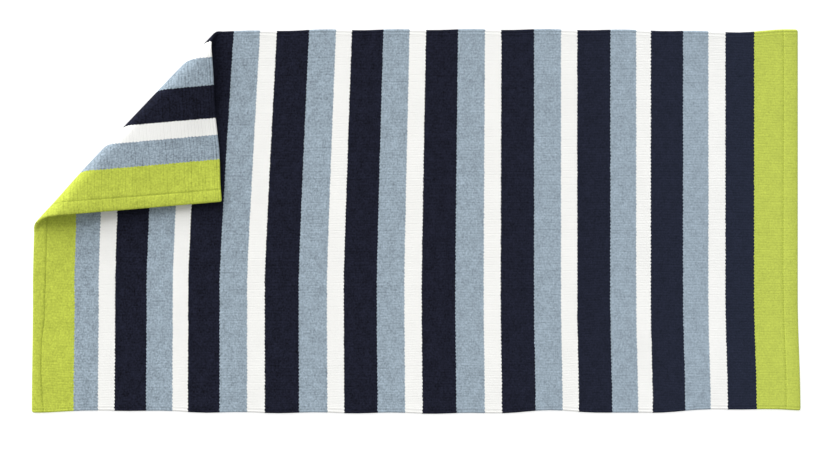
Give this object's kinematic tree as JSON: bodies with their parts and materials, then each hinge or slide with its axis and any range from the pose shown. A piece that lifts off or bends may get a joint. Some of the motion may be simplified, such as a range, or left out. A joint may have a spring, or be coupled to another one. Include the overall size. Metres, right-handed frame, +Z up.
{
  "type": "striped rug",
  "caption": "Flat-woven cotton rug with stitched end hems and corded selvedges, lying face up with one corner folded over on its face.",
  "frame": {"origin": "on the floor, under the centre of the rug's bounding box", "axes": "+X along the rug's length, away from the end with the folded corner; +Y across the width, towards the side with the folded corner; +Z up from the floor, out of the woven face"},
  "size_m": [1.401, 0.7012, 0.0391],
  "materials": {
    "cotton": "matt weft-faced cotton in green, slate, white and navy stripes"
  },
  "bodies": {
    "root": {"rug": "cotton"}
  },
  "joints": []
}
